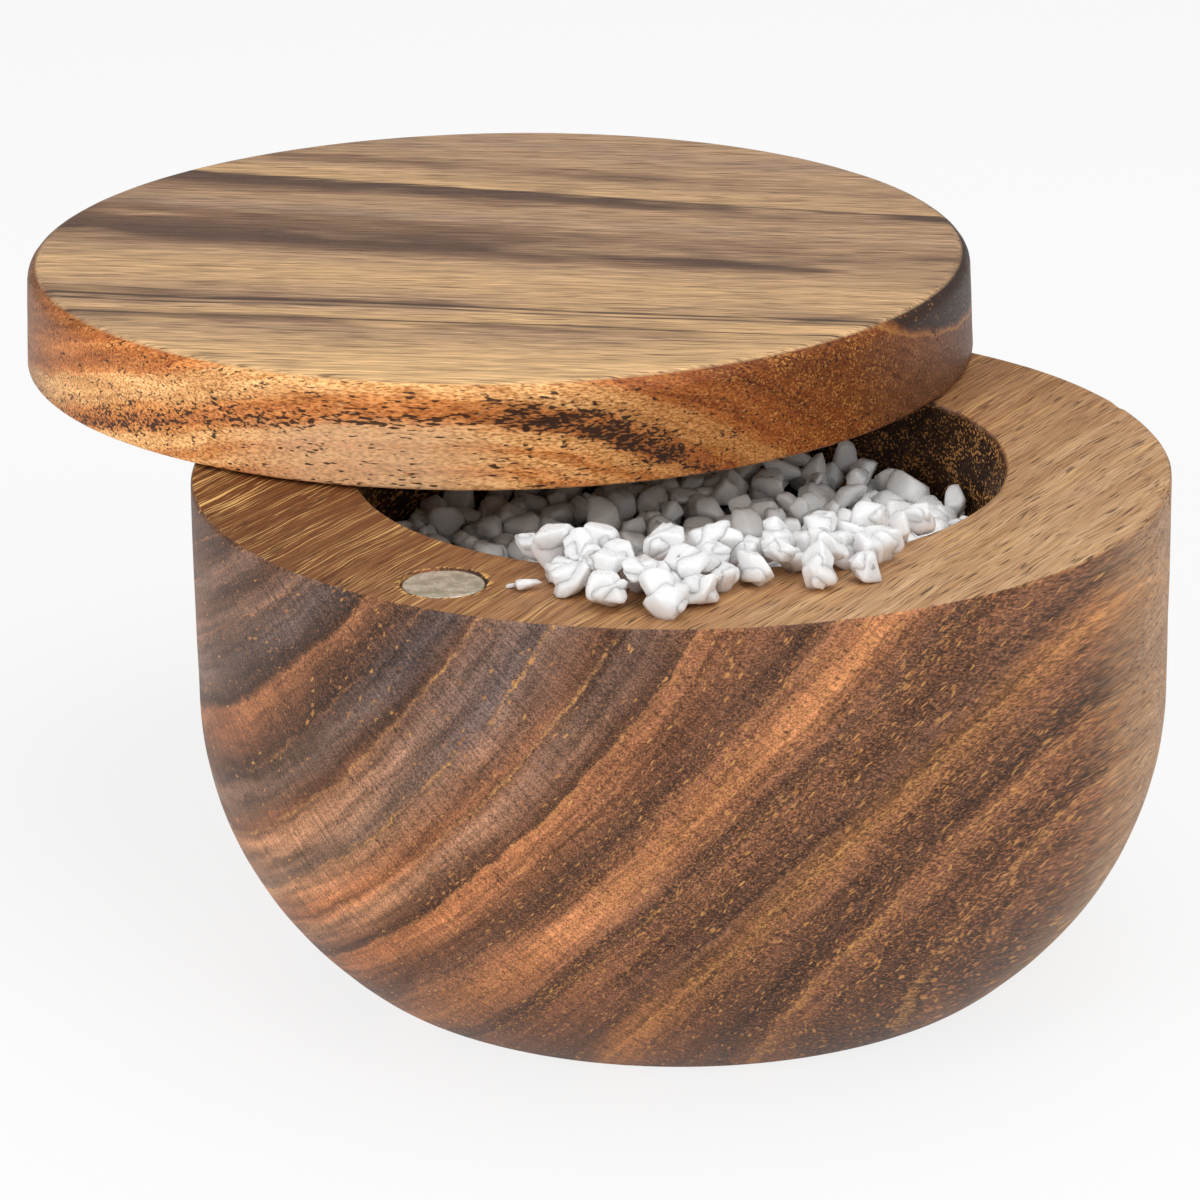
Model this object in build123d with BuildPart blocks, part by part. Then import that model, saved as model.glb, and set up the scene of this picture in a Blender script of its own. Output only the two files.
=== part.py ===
from build123d import *

import os

# A salt pig: a turned wooden bowl with a thick wooden lid that swings aside on a pin.
# Sizes are in millimetres. Z is up, -Y is the front, and the origin is the centre of the
# base. The lid is drawn swung open, as it stands while the cook takes salt.

# Bowl: a straight wall that turns under in one arc to a flat base, round a turned cavity
rim_radius = 50.0
wall_height = 23.0
belly_height = 28.0
base_inset = 13.7
base_bevel = 1.0
rim_width = 16.75
floor_thickness = 12.0
cavity_bevel = 4.0
edge_bevel = 0.4

# Lid: a plain disc that overhangs the rim, a little smaller at its top, where its edge is
# rounded over in three narrow flats
lid_overhang = 2.0
lid_thickness = 11.0
lid_draft = 0.5
lid_top_bevel = 1.1
lid_bevel_ease = 0.45
lid_gap = 0.3

# Swivel: where the pin stands in the rim, and how far the lid is turned from closed
pivot_inset = 7.2
pivot_bearing = 58.0
open_angle = 66.0
running_clearance = 0.05

# Pin: pressed into the lid from below, with a groove near its tip
pin_radius = 2.5
pin_cover = 3.0
pin_engagement = 12.0
pin_chamfer = 0.5
groove_depth = 0.2
groove_rise = 4.0
groove_play = 0.1

# Bush: a flanged sleeve pressed into the rim, with a bead that snaps into the groove
sleeve_wall = 1.45
flange_reach = 1.5
flange_thickness = 1.0
flange_play = 0.1
bead_width = 1.0
tip_room = 1.5

# Magnets: one disc glued flush in the rim, one in the lid above it when closed
magnet_radius = 4.0
magnet_thickness = 3.0
magnet_sink = 0.1
magnet_chamfer = 0.2
glue_gap = 0.15

# Heights and radii that follow from the sizes above
bowl_height = wall_height + belly_height
lid_floor = bowl_height + lid_gap
base_radius = rim_radius - base_inset
cavity_radius = rim_radius - rim_width
lid_radius = rim_radius + lid_overhang
pivot_reach = rim_radius - pivot_inset
groove_radius = pin_radius - groove_depth
pin_tip = bowl_height - pin_engagement
pin_seat = lid_thickness - pin_cover
snap_height = pin_tip + groove_rise
bore_radius = pin_radius + running_clearance
bead_radius = groove_radius + running_clearance
sleeve_radius = bore_radius + sleeve_wall
flange_radius = sleeve_radius + flange_reach
flange_recess = flange_thickness - lid_gap
sleeve_foot = pin_tip - tip_room
pocket_radius = magnet_radius + glue_gap
pocket_depth = magnet_thickness + magnet_sink

# Plan positions: the two magnets lie as far from the pin, so they meet when it is closed
pivot = Vector(pivot_reach, 0, 0).rotate(Axis.Z, pivot_bearing)
catch = pivot * -1
lid_centre = pivot - Vector(pivot_reach, 0, 0).rotate(Axis.Z, pivot_bearing - open_angle)
lid_catch = lid_centre * 2 - pivot

os.makedirs("parts", exist_ok=True)


def half_section(centre):
    """An upright plane through a turning axis: its x is the radius, and its y the height."""
    return Plane(origin=(centre.X, centre.Y, 0), x_dir=(1, 0, 0), z_dir=(0, -1, 0))


def upright_axis(centre):
    """The axis that a piece is turned about."""
    return Axis((centre.X, centre.Y, 0), (0, 0, 1))


def from_below(spot):
    """A plane on the lid's underside that faces down, to drill up from."""
    return Plane(origin=(spot.X, spot.Y, lid_floor), x_dir=(1, 0, 0), z_dir=(0, 0, -1))


# Bowl
with BuildPart() as bowl:
    with BuildSketch(Plane.XZ) as bowl_half:
        with BuildLine():
            Line((0, 0), (base_radius, 0))
            TangentArc((rim_radius, belly_height), (base_radius, 0), tangent=(0, -1))
            Polyline(
                (rim_radius, belly_height),
                (rim_radius, bowl_height),
                (cavity_radius, bowl_height),
                (cavity_radius, floor_thickness),
                (0, floor_thickness),
                (0, 0),
            )
        make_face()
        chamfer(bowl_half.vertices().group_by(Axis.Y)[-1], edge_bevel)
        chamfer(bowl_half.vertices().group_by(Axis.Y)[1].sort_by(Axis.X)[-1], cavity_bevel)
        chamfer(bowl_half.vertices().group_by(Axis.Y)[0].sort_by(Axis.X)[-1], base_bevel)
    revolve(axis=Axis.Z)
    with Locations((pivot.X, pivot.Y, bowl_height)):
        CounterBoreHole(
            radius=sleeve_radius,
            counter_bore_radius=flange_radius + flange_play,
            counter_bore_depth=flange_recess,
            depth=bowl_height - sleeve_foot,
        )
    with Locations((catch.X, catch.Y, bowl_height)):
        Hole(radius=pocket_radius, depth=pocket_depth)
bowl.part.label = "bowl"
export_step(bowl.part, "parts/bowl.step")

# Lid
with BuildPart() as lid:
    with BuildSketch(half_section(lid_centre)) as lid_half:
        with BuildLine():
            Polyline(
                (0, lid_floor),
                (lid_radius, lid_floor),
                (lid_radius - lid_draft, lid_floor + lid_thickness),
                (0, lid_floor + lid_thickness),
                (0, lid_floor),
            )
        make_face()
        chamfer(lid_half.vertices().group_by(Axis.Y)[-1].sort_by(Axis.X)[-1], lid_top_bevel)
        bevel_ends = lid_half.vertices().sort_by(Axis.Y)[-3:].sort_by(Axis.X)[1:]
        chamfer(bevel_ends, lid_bevel_ease)
        chamfer(lid_half.vertices().group_by(Axis.Y)[0].sort_by(Axis.X)[-1], edge_bevel)
    revolve(axis=upright_axis(lid_centre))
    with Locations(from_below(pivot)):
        Hole(radius=pin_radius, depth=pin_seat)
    with Locations(from_below(lid_catch)):
        Hole(radius=pocket_radius, depth=pocket_depth)
lid.part.label = "lid"
export_step(lid.part, "parts/lid.step")

# Pivot pin: a plain pin with chamfered ends and a groove turned in near its tip
with BuildPart() as pivot_pin:
    with BuildSketch(Plane.XY.offset(pin_tip)):
        with Locations((pivot.X, pivot.Y)):
            Circle(pin_radius)
    extrude(amount=pin_engagement + lid_gap + pin_seat)
    chamfer(pivot_pin.edges().filter_by(GeomType.CIRCLE), pin_chamfer)
    groove_width = bead_width + 2 * groove_play
    with BuildSketch(Plane.XY.offset(snap_height - groove_width / 2)):
        with Locations((pivot.X, pivot.Y)):
            Circle(pin_radius)
            Circle(groove_radius, mode=Mode.SUBTRACT)
    extrude(amount=groove_width, mode=Mode.SUBTRACT)
pivot_pin.part.label = "pivot_pin"
export_step(pivot_pin.part, "parts/pivot_pin.step")

# Pivot bush: the flange carries the lid, and the bead inside runs in the pin's groove
with BuildPart() as pivot_bush:
    with BuildSketch(half_section(pivot)):
        with BuildLine():
            bead_rise = bore_radius - bead_radius
            Polyline(
                (bore_radius, sleeve_foot),
                (sleeve_radius, sleeve_foot),
                (sleeve_radius, bowl_height - flange_recess),
                (flange_radius, bowl_height - flange_recess),
                (flange_radius, lid_floor),
                (bore_radius, lid_floor),
                (bore_radius, snap_height + bead_width / 2),
                (bead_radius, snap_height + bead_width / 2 - bead_rise),
                (bead_radius, snap_height - bead_width / 2 + bead_rise),
                (bore_radius, snap_height - bead_width / 2),
                (bore_radius, sleeve_foot),
            )
        make_face()
    revolve(axis=upright_axis(pivot))
pivot_bush.part.label = "pivot_bush"
export_step(pivot_bush.part, "parts/pivot_bush.step")

# Magnets: each rests on the floor of its own pocket
bowl_pocket_floor = bowl_height - pocket_depth
with BuildPart() as bowl_magnet:
    with BuildSketch(Plane.XY.offset(bowl_pocket_floor)):
        with Locations((catch.X, catch.Y)):
            Circle(magnet_radius)
    extrude(amount=magnet_thickness)
    chamfer(bowl_magnet.edges().filter_by(GeomType.CIRCLE), magnet_chamfer)
bowl_magnet.part.label = "bowl_magnet"
export_step(bowl_magnet.part, "parts/bowl_magnet.step")

with BuildPart() as lid_magnet:
    with BuildSketch(Plane.XY.offset(lid_floor + magnet_sink)):
        with Locations((lid_catch.X, lid_catch.Y)):
            Circle(magnet_radius)
    extrude(amount=magnet_thickness)
    chamfer(lid_magnet.edges().filter_by(GeomType.CIRCLE), magnet_chamfer)
lid_magnet.part.label = "lid_magnet"
export_step(lid_magnet.part, "parts/lid_magnet.step")
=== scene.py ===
import math
import random

import bmesh
import bpy
import numpy as np
from mathutils import Euler, Matrix, Vector, noise


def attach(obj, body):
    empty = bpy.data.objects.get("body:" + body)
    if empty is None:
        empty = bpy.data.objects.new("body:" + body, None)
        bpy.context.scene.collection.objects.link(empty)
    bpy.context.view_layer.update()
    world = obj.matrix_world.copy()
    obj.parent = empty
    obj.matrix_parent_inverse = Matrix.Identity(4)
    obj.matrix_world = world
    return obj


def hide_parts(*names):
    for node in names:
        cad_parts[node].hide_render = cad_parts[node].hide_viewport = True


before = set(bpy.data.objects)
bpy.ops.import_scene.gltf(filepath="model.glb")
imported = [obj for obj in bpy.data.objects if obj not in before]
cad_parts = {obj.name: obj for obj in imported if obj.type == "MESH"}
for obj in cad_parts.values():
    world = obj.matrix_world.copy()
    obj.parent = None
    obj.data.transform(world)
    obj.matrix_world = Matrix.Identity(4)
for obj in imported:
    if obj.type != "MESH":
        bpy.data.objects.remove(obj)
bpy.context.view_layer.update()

# Everything below is in millimetres until a mesh is made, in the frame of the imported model
MM = 0.001

# Bowl: the sizes of the CAD source, with rounds for its bevels
RIM_RADIUS = 50.0
BOWL_HEIGHT = 51.0
BELLY_HEIGHT = 28.0
BASE_RADIUS = 36.3
CAVITY_RADIUS = 33.25
CAVITY_FLOOR = 12.0
BASE_ROUND = 0.9
CAVITY_ROUND = 5.0
RIM_ROUND = 0.45

# Lid: the sizes of the CAD source, with rounds for its bevels
LID_RADIUS = 52.0
LID_FLOOR = 51.3
LID_THICKNESS = 11.0
LID_DRAFT = 0.5
LID_TOP_ROUND = 1.75
LID_FOOT_ROUND = 0.4

# Swivel and catch, as in the CAD source
PIVOT = Vector((22.681, 36.296))
CATCH = -PIVOT
LID_CENTRE = Vector((-19.703, 42.253))
LID_CATCH = 2 * LID_CENTRE - PIVOT
SLEEVE_RADIUS = 4.0
SLEEVE_DEPTH = 13.5
FLANGE_POCKET_RADIUS = 5.6
FLANGE_POCKET_DEPTH = 0.7
PIN_RADIUS = 2.5
PIN_SEAT = 8.0
MAGNET_RADIUS = 4.0
MAGNET_THICKNESS = 3.0
MAGNET_POCKET_RADIUS = 4.15
MAGNET_POCKET_DEPTH = 3.1

# How finely the turned pieces and their holes are divided, and how deep the sanding waves are
TURNED_STEPS = 360
HOLE_STEPS = 96
ARC_STEPS = 46
PROFILE_GAP = 0.8
SANDING = 0.10

# Chips in the rim: x, y, reach, depth and seed
RIM_CHIPS = ((48.9, -10.3, 2.2, 0.9, 3.0), (46.4, 18.6, 1.2, 0.7, 8.0))

# The way the fibres run, from the right towards the back, and the slant of the growth bands
BOWL_GRAIN = math.radians(60)
LID_GRAIN = math.radians(-6)
BAND_SLANT = math.radians(45.35)

# Tinted patches on the bowl's cut ends: across, up from the rim, reach and tint. The first is a
# painted sheen high on the front left, the second is painted light thrown up from the floor onto
# the low belly, and the third darkens a patch high on the front
END_PATCHES_SHEEN_BOUNCE_AND_DARK = (
    (4.5, -10.5, 14.0, (1.34, 1.38, 1.46)),
    (14.6, -42.6, 14.0, (1.26, 1.18, 1.10)),
    (24.8, -13.5, 10.0, (0.80, 0.76, 0.74)),
)

# Dark lines on the lid: place across it from front to back, half their width and strength
LID_LINES = (
    (-23.9, 0.62, 1.3), (-25.3, 0.42, 1.1), (-29.8, 0.42, 1.1),
    (-21.6, 0.30, 0.6), (-33.6, 0.25, 0.5), (22.7, 0.45, 0.8),
)

# Camera, from the fit to the photograph
CAMERA_PLACE = Vector((0.0, -479.42, 207.91))
CAMERA_AIM = Vector((-8.40, 0.0, 36.14))
CAMERA_ROLL = math.radians(-0.746)
CAMERA_LENS = 147.86

# How white the floor looks to the camera, and how bright the world is as light
FLOOR_GLOW = 0.82
WORLD_LIGHT = 0.36


# Materials


def tone(red, green, blue):
    """A screen colour, 0 to 255, as the linear colour that a shader takes."""
    linear = []
    for value in (red, green, blue):
        share = value / 255
        linear.append(share / 12.92 if share <= 0.04045 else ((share + 0.055) / 1.055) ** 2.4)
    return (*linear, 1.0)


class Tree:
    """A tree of nodes. Inputs may be plain values or other nodes' outputs."""

    def __init__(self, tree):
        self.nodes, self.links = tree.nodes, tree.links
        self.nodes.clear()

    def feed(self, socket, value):
        if isinstance(value, bpy.types.NodeSocket):
            self.links.new(value, socket)
        else:
            socket.default_value = value

    def node(self, kind, *values):
        """A new node, with its first inputs fed in their order."""
        node = self.nodes.new("ShaderNode" + kind)
        for socket, value in zip(node.inputs, values):
            self.feed(socket, value)
        return node

    def math(self, operation, *values, clamp=False):
        node = self.node("Math", *values)
        node.operation = operation
        node.use_clamp = clamp
        return node.outputs[0]

    def add(self, *values):
        total = values[0]
        for value in values[1:]:
            total = self.math("ADD", total, value)
        return total

    def times(self, *values):
        product = values[0]
        for value in values[1:]:
            product = self.math("MULTIPLY", product, value)
        return product

    def joined(self, x, y, z):
        return self.node("CombineXYZ", x, y, z).outputs[0]

    def scaled(self, *pairs):
        """A vector of two or three values, each times its scale."""
        parts = [self.times(value, scale) for value, scale in pairs]
        return self.joined(*parts, *[0.0] * (3 - len(parts)))

    def split(self, vector):
        return tuple(self.node("SeparateXYZ", vector).outputs)

    def noise(self, where, scale=1.0, detail=2.0, roughness=0.5):
        node = self.node("TexNoise", where)
        node.inputs["Scale"].default_value = scale
        node.inputs["Detail"].default_value = detail
        node.inputs["Roughness"].default_value = roughness
        return node.outputs["Fac"]

    def cells(self, where):
        """Distance to the nearest cell's heart, and that cell's random colour."""
        node = self.node("TexVoronoi", where)
        node.inputs["Scale"].default_value = 1.0
        return node.outputs["Distance"], node.outputs["Color"]

    def length(self, *parts):
        """The length of a vector with these parts."""
        return self.math("SQRT", self.add(*[self.times(part, part) for part in parts]))

    def spread(self, value, low, high, to_low=0.0, to_high=1.0, smooth=False):
        """Maps low to high onto to_low to to_high, and stops at both ends."""
        node = self.node("MapRange", value, low, high, to_low, to_high)
        node.interpolation_type = "SMOOTHSTEP" if smooth else "LINEAR"
        node.clamp = True
        return node.outputs[0]

    def near(self, value, centre, full, none, smooth=False):
        """1 where value is within full of centre, and 0 beyond none."""
        gap = self.math("ABSOLUTE", self.math("SUBTRACT", value, centre))
        return self.spread(gap, full, none, 1.0, 0.0, smooth)

    def ramp(self, value, stops, low, high):
        """Colour by value. stops are (place, colour), with places between low and high."""
        node = self.node("ValToRGB", self.spread(value, low, high))
        entries = node.color_ramp.elements
        while len(entries) < len(stops):
            entries.new(1.0)
        for entry, (place, colour) in zip(entries, sorted(stops, key=lambda stop: stop[0])):
            entry.position = (place - low) / (high - low)
            entry.color = colour
        return node.outputs[0]

    def mix(self, factor, first, second, blend="MIX"):
        node = self.node("Mix", factor)
        node.data_type = "RGBA"
        node.blend_type = blend
        self.feed(node.inputs[6], first)
        self.feed(node.inputs[7], second)
        return node.outputs[2]

    def over(self, share, colour, *rgb):
        """A screen colour laid over another colour, as far as share says."""
        return self.mix(share, colour, tone(*rgb))

    def multiply(self, factor, colour, tint):
        """A colour multiplied by a tint, as far as factor says."""
        return self.mix(factor, colour, tint, blend="MULTIPLY")

    def bump(self, height, distance):
        """Turns a height, in millimetres when distance is 1, into a shading normal."""
        node = self.node("Bump")
        node.inputs["Distance"].default_value = distance * MM
        self.feed(node.inputs["Height"], height)
        return node.outputs[0]


class Finish(Tree):
    """One material and its nodes."""

    def __init__(self, name):
        self.material = bpy.data.materials.new(name)
        self.material.use_nodes = True
        super().__init__(self.material.node_tree)
        self.shader = self.node("BsdfPrincipled")
        self.output = self.node("OutputMaterial", self.shader.outputs[0])

    def set(self, name, value):
        self.feed(self.shader.inputs[name], value)

    def place(self):
        """Where a point lies in its own piece, in metres, and the way its surface faces."""
        node = self.node("TexCoord")
        return node.outputs["Object"], node.outputs["Normal"]

    def spot(self):
        """Where a point lies in its own piece, in millimetres."""
        return self.joined(*[self.times(value, 1 / MM) for value in self.split(self.place()[0])])


class Wood(Finish):
    """Wood with its figure in three dimensions, so the cut faces agree where they meet.

    along runs with the fibres, across lies level and square to them, and up is height.
    endness is 1 where the fibres are cut across, and 0 where they lie in the surface.
    """

    def __init__(self, name, heart, bearing, cut_bearing):
        super().__init__(name)
        spot, normal = self.place()
        x, y, z = self.split(spot)
        east, north = math.cos(bearing), math.sin(bearing)
        x = self.math("MULTIPLY_ADD", x, 1 / MM, -heart[0])
        y = self.math("MULTIPLY_ADD", y, 1 / MM, -heart[1])
        self.up = self.math("MULTIPLY_ADD", z, 1 / MM, -heart[2])
        self.along = self.add(self.times(x, east), self.times(y, north))
        self.across = self.add(self.times(x, north), self.times(y, -east))
        nx, ny, nz = self.split(normal)
        east, north = math.cos(cut_bearing), math.sin(cut_bearing)
        facing = self.math("ABSOLUTE", self.add(self.times(nx, east), self.times(ny, north)))
        fray = self.math("MULTIPLY_ADD", self.noise(self.stretched(0.6, 5.0)), 0.24, -0.12)
        self.endness = self.spread(self.add(facing, fray), 0.10, 0.42, smooth=True)
        self.levelness = self.spread(self.math("ABSOLUTE", nz), 0.84, 0.94)

    def stretched(self, fine, long, shift=0.0):
        """A place that varies by fine across the fibres and by long along them."""
        return self.joined(
            self.times(self.across, 1 / fine),
            self.times(self.up, 1 / fine),
            self.math("MULTIPLY_ADD", self.along, 1 / long, shift),
        )

    def streaks(self, fine, long, shift=0.0, detail=2.0, roughness=0.6):
        return self.noise(self.stretched(fine, long, shift), 1.0, detail, roughness)

    def wander(self, fine, long, reach, shift=0.0):
        """A smooth offset of up to about reach either way."""
        return self.math("MULTIPLY_ADD", self.streaks(fine, long, shift), reach * 4, reach * -2)

    def filtered(self, share):
        """A grey that turns amber as it darkens, as wood does, for use as a factor."""
        return self.joined(
            self.math("POWER", share, 0.72), share, self.math("POWER", share, 1.35)
        )

    def vary(self, colour, pattern, dark, light, low=0.3, high=0.7, warm=False):
        """Darkens or lightens a colour as the pattern goes from low to high."""
        grey = self.spread(pattern, low, high, dark, light)
        factor = self.filtered(grey) if warm else self.joined(grey, grey, grey)
        return self.multiply(1.0, colour, factor)

    def pores(self, where, radius, share, bend):
        """Uneven dots or dashes, one in a share of the cells of a stretched place."""
        shift = self.joined(bend, self.times(bend, -0.7), 0.0)
        bent = self.node("VectorMath", where, shift)
        bent.operation = "ADD"
        distance, colour = self.cells(bent.outputs[0])
        luck, shade, size = self.split(colour)
        reach = self.math("MULTIPLY_ADD", size, radius * 0.8, radius * 0.5)
        dot = self.spread(self.math("SUBTRACT", reach, distance), 0.0, radius * 0.5)
        kept = self.math("LESS_THAN", luck, share)
        return self.times(dot, kept), shade


def growth_edges(wood, ring, edges):
    """The sharp starts of the growth bands: a bright line that fades out, after a dark one.

    Each edge is (ring, brightness, width, darkness before it).
    """
    glow, dusk = 0.0, 0.0
    for start, strength, width, shadow in edges:
        gap = wood.math("SUBTRACT", ring, start)
        rise = wood.spread(gap, -0.10, 0.10)
        glow = wood.math(
            "MULTIPLY_ADD",
            wood.times(rise, wood.spread(gap, 0.12, width, 1.0, 0.0, smooth=True)),
            strength,
            glow,
        )
        before = wood.times(wood.spread(gap, -1.9, -0.15), wood.math("SUBTRACT", 1.0, rise))
        dusk = wood.math("MULTIPLY_ADD", before, shadow, dusk)
    return glow, dusk


def bowl_ends(wood):
    """The cut ends of the bowl's fibres: slanting growth bands, full of fine bright pores."""
    level, steep = math.cos(BAND_SLANT), math.sin(BAND_SLANT)
    crossing = wood.add(wood.times(wood.across, level), wood.times(wood.up, -steep))
    rising = wood.add(wood.times(wood.across, steep), wood.times(wood.up, level))
    wave = wood.math(
        "SINE",
        wood.add(wood.times(rising, 0.0275), wood.times(crossing, -0.1074), 0.918),
    )
    ring = wood.add(
        crossing,
        wood.times(rising, rising, 0.0031),
        wood.times(crossing, rising, 0.0035),
        wood.times(wave, 3.04),
        wood.wander(14.0, 60.0, 0.35),
        wood.wander(3.0, 25.0, 0.22, 4.0),
        wood.wander(0.7, 10.0, 0.10, 8.0),
    )

    ink = tone(74, 53, 43)
    slate = tone(97, 80, 74)
    umber = tone(94, 64, 48)
    brown = tone(118, 78, 55)
    plum = tone(126, 96, 80)
    chestnut = tone(146, 96, 66)
    copper = tone(190, 126, 82)
    honey = tone(166, 112, 70)
    older = [
        (-30, brown), (-20, umber), (-13.5, umber), (-11.5, plum), (-9, umber), (-6.5, plum),
        (-3.5, slate), (-1.3, ink), (-0.6, chestnut), (0.5, brown), (1.6, umber), (2.6, ink),
        (4.5, slate),
        (6.2, umber), (7.5, plum), (10.4, slate), (11.5, plum), (14.2, brown), (15.8, plum),
        (18.7, umber),
    ]
    newer = [
        (19.8, chestnut), (23, brown), (25.8, umber), (28.2, chestnut), (30.5, copper),
        (32.6, chestnut), (34.6, umber), (37, brown), (42.0, umber), (44.8, honey),
        (47.5, brown), (51.2, umber), (53.4, chestnut), (56, brown), (60, chestnut),
    ]
    colour = wood.mix(
        wood.spread(ring, 19.2, 19.4),
        wood.ramp(ring, older, -30.0, 20.0),
        wood.ramp(ring, newer, 19.0, 61.0),
    )

    # The older wood turns from slate at the rim to a warm brown lower down
    deep = wood.times(wood.spread(wood.up, -8.0, -34.0), wood.spread(ring, 26.0, 12.0))
    colour = wood.multiply(deep, colour, (2.30, 1.90, 1.32, 1.0))
    # Painted shade: the lower right of the belly is darkened and cooled
    painted_shade_low_right = wood.times(wood.spread(wood.up, -18.0, -40.0), wood.spread(wood.across, 20.0, 42.0))
    colour = wood.multiply(painted_shade_low_right, colour, (0.27, 0.30, 0.37, 1.0))

    # Painted sheen, painted light from the floor and a darker patch, each laid on as a soft tint
    for across, up, reach, tint in END_PATCHES_SHEEN_BOUNCE_AND_DARK:
        gap = wood.length(wood.add(wood.across, -across), wood.add(wood.up, -up))
        share = wood.spread(gap, 0.0, reach, 1.0, 0.0, smooth=True)
        colour = wood.multiply(share, colour, (*tint, 1.0))

    edges = [
        (-16.0, 0.7, 0.35, 0.2), (-12.0, 0.8, 0.35, 0.2), (-6.5, 0.6, 0.3, 0.1),
        (-0.8, 0.8, 1.6, 0.5), (2.8, 0.5, 0.3, 0.2), (6.4, 0.9, 0.28, 0.2),
        (10.9, 0.9, 0.32, 0.3), (14.6, 0.8, 0.28, 0.3), (19.3, 0.55, 0.7, 0.4),
        (26.9, 0.35, 0.5, 0.2), (30.6, 0.3, 0.4, 0.1), (35.4, 0.5, 0.6, 0.35),
        (44.6, 0.65, 0.8, 0.4), (53.0, 0.7, 0.8, 0.4), (59.0, 0.8, 0.8, 0.4),
    ]
    glow, dusk = growth_edges(wood, ring, edges)

    # Bands of finer growth, rays that cross them, and broad clouds
    fine = wood.noise(wood.scaled((ring, 1.3), (rising, 0.07)), 1.0, 3.0)
    colour = wood.vary(colour, fine, 0.55, 1.5)
    broad = wood.noise(wood.scaled((ring, 0.3), (rising, 0.05), (wood.along, 0.02)), 1.0, 1.0)
    colour = wood.vary(colour, broad, 0.66, 1.36)
    rays = wood.noise(wood.scaled((ring, 0.22), (rising, 3.2), (wood.along, 0.2)), 1.0, 2.0)
    colour = wood.vary(colour, rays, 0.72, 1.3)
    colour = wood.vary(colour, dusk, 1.0, 0.5, 0.0, 1.0)

    # Fine pores, each a bright or a dark speck, crowded where the bands start
    crowding = [
        (-20, 0.30), (-1.0, 0.34), (2.4, 0.4), (3.0, 0.16), (10, 0.24), (15, 0.32), (18.5, 0.28),
        (20, 0.6), (25, 0.32), (28, 0.7), (31, 0.85), (34, 0.5), (36, 0.75), (41, 0.45),
        (43.5, 0.4), (45.2, 1.0), (49, 0.55), (51.5, 0.45), (53.4, 1.0), (57, 0.6), (59.2, 1.0),
        (64, 0.6),
    ]
    crowd = wood.ramp(ring, [(p, (v, v, v, 1)) for p, v in crowding], -30.0, 75.0)
    speck = wood.noise(wood.stretched(0.17, 3.0), 1.0, 1.0, 0.5)
    mote = wood.noise(wood.stretched(0.30, 4.0, 5.0), 1.0, 1.0, 0.5)
    colour = wood.vary(colour, speck, 0.54, 1.38, 0.32, 0.62)
    gold = tone(226, 166, 98)
    ember = wood.over(0.58, colour, 232, 158, 104)
    bright = wood.times(wood.spread(speck, 0.50, 0.62), wood.spread(mote, 0.40, 0.58), crowd)
    colour = wood.mix(bright, colour, ember)

    patch = wood.noise(
        wood.joined(wood.times(ring, 0.45), wood.times(rising, 0.13), 3.0), 1.0, 2.0
    )
    broken = wood.times(
        wood.spread(patch, 0.38, 0.58, 0.0, 1.0),
        wood.spread(mote, 0.38, 0.56, 0.15, 1.0),
        wood.spread(speck, 0.38, 0.55, 0.4, 1.0),
    )
    warm = wood.mix(wood.spread(ring, 1.0, 5.0), tone(224, 150, 100), gold)
    colour = wood.mix(wood.math("MULTIPLY", glow, broken, clamp=True), colour, warm)

    bend = wood.math("MULTIPLY_ADD", mote, 1.6, -0.8)
    banded = wood.scaled((ring, 1 / 0.25), (rising, 1 / 0.75), (wood.along, 1 / 4.0))
    fewer = wood.times(crowd, wood.spread(ring, 14.0, 22.0, 0.30, 0.60))
    small, shade = wood.pores(banded, 0.46, fewer, wood.times(bend, 0.25))
    gilt = wood.mix(shade, tone(176, 112, 66), gold)
    colour = wood.mix(wood.times(small, 0.8), colour, gilt)
    pits, _ = wood.pores(wood.stretched(0.44, 6.0, 7.3), 0.40, wood.times(crowd, 0.34), bend)
    colour = wood.over(wood.times(pits, 0.6), colour, 56, 36, 26)
    return colour, speck, pits


def bowl_lengths(wood):
    """The bowl's fibres cut along: amber at the left and tan at the right, with gold streaks."""
    amber = tone(112, 66, 34)
    russet = tone(130, 82, 47)
    tan = tone(172, 124, 82)
    sand = tone(197, 155, 114)
    places = wood.add(wood.across, wood.wander(2.0, 50.0, 2.2), wood.wander(9.0, 60.0, 4.0, 3.0))
    colour = wood.ramp(
        places, [(-50, amber), (-30, amber), (-8, russet), (22, tan), (44, sand)], -50.0, 50.0
    )
    wide = wood.streaks(1.4, 30.0, 1.0)
    thin = wood.streaks(0.24, 13.0, 6.0)
    hair = wood.streaks(0.16, 5.0, 9.0, 1.0)
    colour = wood.vary(colour, wide, 0.72, 1.28, warm=True)
    colour = wood.vary(colour, thin, 0.68, 1.32, warm=True)
    colour = wood.vary(colour, hair, 0.78, 1.22)
    gold = tone(244, 196, 124)
    richer = wood.spread(wood.across, -45.0, 30.0, 1.0, 0.35)
    long = wood.spread(wood.streaks(0.22, 20.0, 12.0, 0.0), 0.59, 0.64)
    short = wood.spread(wood.streaks(0.30, 6.0, 33.0, 1.0), 0.60, 0.66)
    flare = wood.math("MAXIMUM", long, wood.times(short, 0.7))
    sparse = wood.spread(wood.streaks(2.4, 22.0, 39.0, 1.0), 0.40, 0.60, 0.15, 1.0)
    flare = wood.times(flare, sparse)
    colour = wood.mix(wood.times(flare, richer), colour, gold)
    dash = wood.streaks(0.22, 5.0, 21.0, 1.0)
    colour = wood.over(wood.times(wood.spread(dash, 0.60, 0.66), 0.8), colour, 66, 42, 27)
    return colour, thin, dash


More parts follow.
